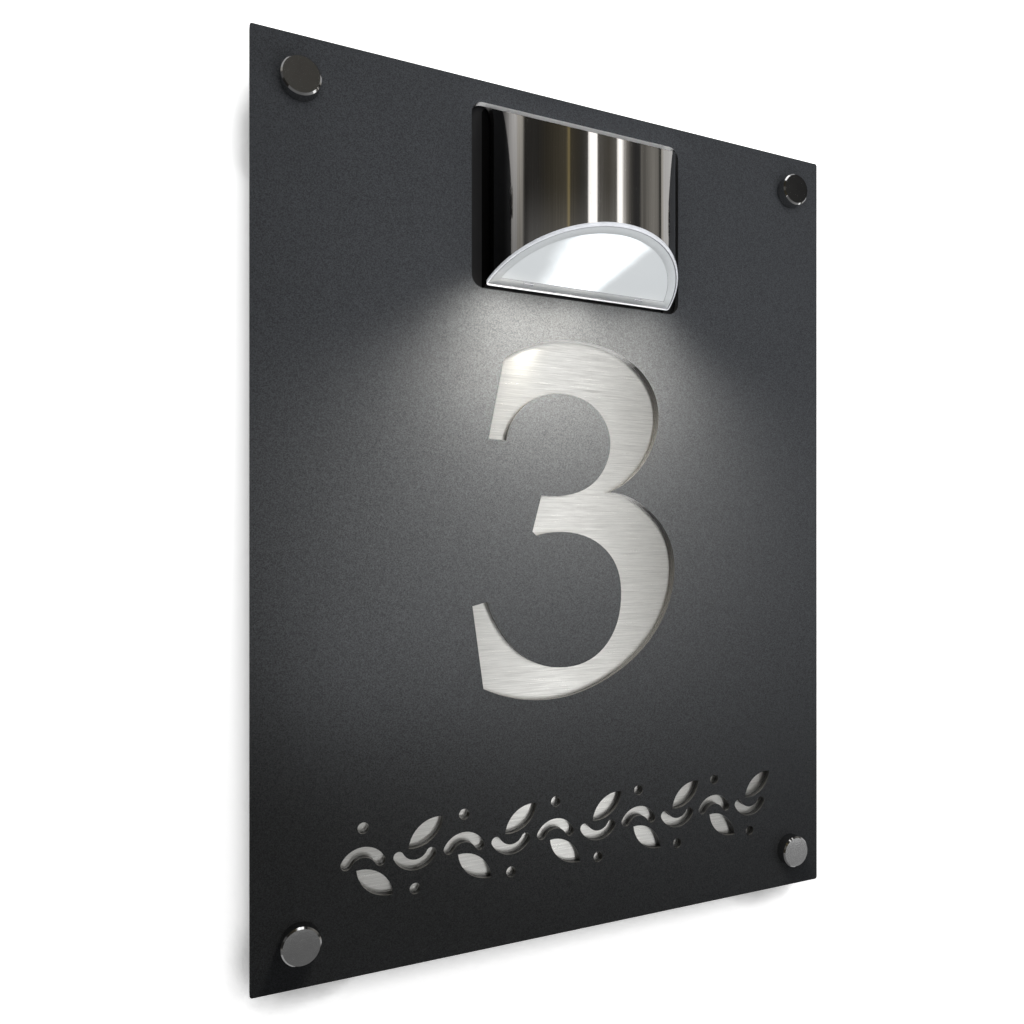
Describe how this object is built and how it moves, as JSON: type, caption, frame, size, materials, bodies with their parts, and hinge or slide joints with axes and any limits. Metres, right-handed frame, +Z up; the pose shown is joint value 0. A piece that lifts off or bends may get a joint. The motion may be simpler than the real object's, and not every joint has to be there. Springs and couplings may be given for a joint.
{
  "type": "illuminated house number sign",
  "caption": "Wall-mounted house number sign with a cut-out plate, a half-round solar lamp that lights it, and standoff fixings.",
  "frame": {"origin": "on the wall, in the middle of the four standoff screw holes", "axes": "+Z up along the plate's height, the front faces -Y, +Y goes into the wall, +X to the right seen from the front"},
  "size_m": [0.3, 0.0628, 0.4],
  "materials": {
    "plate_powder_coat": "fine-textured matte",
    "brushed_sheet": "brushed across",
    "polished_steel": "polished",
    "turned_steel": "turned",
    "dark_chrome": "dark polished",
    "soft_washer": "clear soft",
    "frosted_lens": "frosted",
    "clear_window": "clear",
    "black_plastic": "fine-grained",
    "white_plastic": "smooth white",
    "solar_silicon": "dark blue cells",
    "circuit_board": "green lacquer",
    "board_parts": "moulded",
    "white_board": "white lacquer",
    "light_emitter": "phosphor",
    "contact_steel": "nickel plated",
    "battery_sleeve": "shrink sleeve",
    "zinc_fastener": "zinc plated"
  },
  "bodies": {
    "sign": {"front_plate": "plate_powder_coat", "backing_sheet": "brushed_sheet", "standoff_barrels": "turned_steel", "back_washers": "soft_washer", "front_washers": "soft_washer", "steel_cover": "polished_steel", "reflector": "white_plastic", "led_board": "white_board", "leds": "light_emitter", "top_frame": "black_plastic", "solar_cell": "solar_silicon", "panel_window": "clear_window", "lamp_base": "black_plastic", "battery_cell": "battery_sleeve", "battery_contacts": "contact_steel", "battery_spring": "contact_steel", "control_board": "circuit_board", "control_parts": "board_parts", "switch_body": "black_plastic", "lamp_screws": "zinc_fastener", "lamp_nuts": "zinc_fastener"},
    "cap_tl": {"cap_tl": "dark_chrome"},
    "cap_tr": {"cap_tr": "dark_chrome"},
    "cap_bl": {"cap_bl": "dark_chrome"},
    "cap_br": {"cap_br": "dark_chrome"},
    "lens": {"lens": "frosted_lens"},
    "battery_door": {"battery_door": "black_plastic"},
    "switch_knob": {"switch_knob": "white_plastic"}
  },
  "joints": [
    {"name": "cap_tl_turn", "type": "hinge", "parent": "sign", "child": "cap_tl", "pos_m": [-0.13, -0.0205, 0.18], "axis": [0, -1, 0], "continuous": true},
    {"name": "cap_tr_turn", "type": "hinge", "parent": "sign", "child": "cap_tr", "pos_m": [0.13, -0.0205, 0.18], "axis": [0, -1, 0], "continuous": true},
    {"name": "cap_bl_turn", "type": "hinge", "parent": "sign", "child": "cap_bl", "pos_m": [-0.13, -0.0205, -0.18], "axis": [0, -1, 0], "continuous": true},
    {"name": "cap_br_turn", "type": "hinge", "parent": "sign", "child": "cap_br", "pos_m": [0.13, -0.0205, -0.18], "axis": [0, -1, 0], "continuous": true},
    {"name": "lens_pull", "type": "slide", "parent": "sign", "child": "lens", "axis": [0, -0.3875, -0.9219], "range_m": [0, 0.025]},
    {"name": "battery_door_slide", "type": "slide", "parent": "sign", "child": "battery_door", "axis": [1, 0, 0], "range_m": [0, 0.062]},
    {"name": "switch_slide", "type": "slide", "parent": "sign", "child": "switch_knob", "axis": [0, 0, 1], "range_m": [0, 0.004]}
  ]
}
